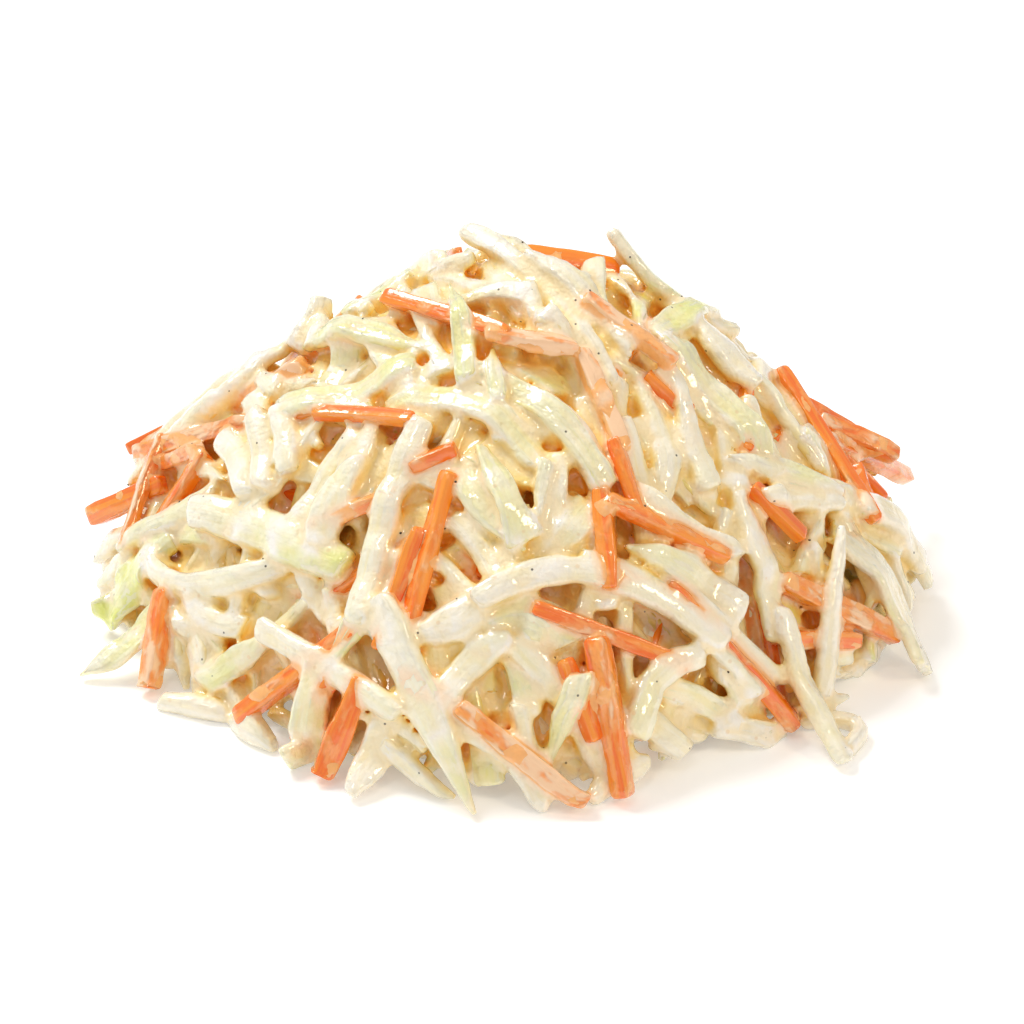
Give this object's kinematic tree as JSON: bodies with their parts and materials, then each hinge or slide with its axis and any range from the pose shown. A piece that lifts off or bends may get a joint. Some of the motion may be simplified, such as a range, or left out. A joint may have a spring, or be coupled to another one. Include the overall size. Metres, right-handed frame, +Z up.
{
  "type": "coleslaw",
  "caption": "Heap of creamy coleslaw: shredded white and green cabbage with carrot sticks, bound in dressing, resting on a flat base.",
  "frame": {"origin": "Middle of the flat base that the heap rests on, at the height of the surface under it.", "axes": "+Z up. The front, as served, faces -Y. +X is to the right seen from the front, along the heap's longest side."},
  "size_m": [0.1252, 0.1192, 0.0581],
  "materials": {
    "dressing": "wet creamy gloss",
    "cabbage": "wet, translucent, coated in dressing",
    "leaf": "wet, pale green, thinly coated",
    "carrot": "wet, bare on edges, coated on faces",
    "pepper": "dry, coarse"
  },
  "bodies": {
    "root": {"slaw_heap": "dressing"}
  },
  "joints": []
}
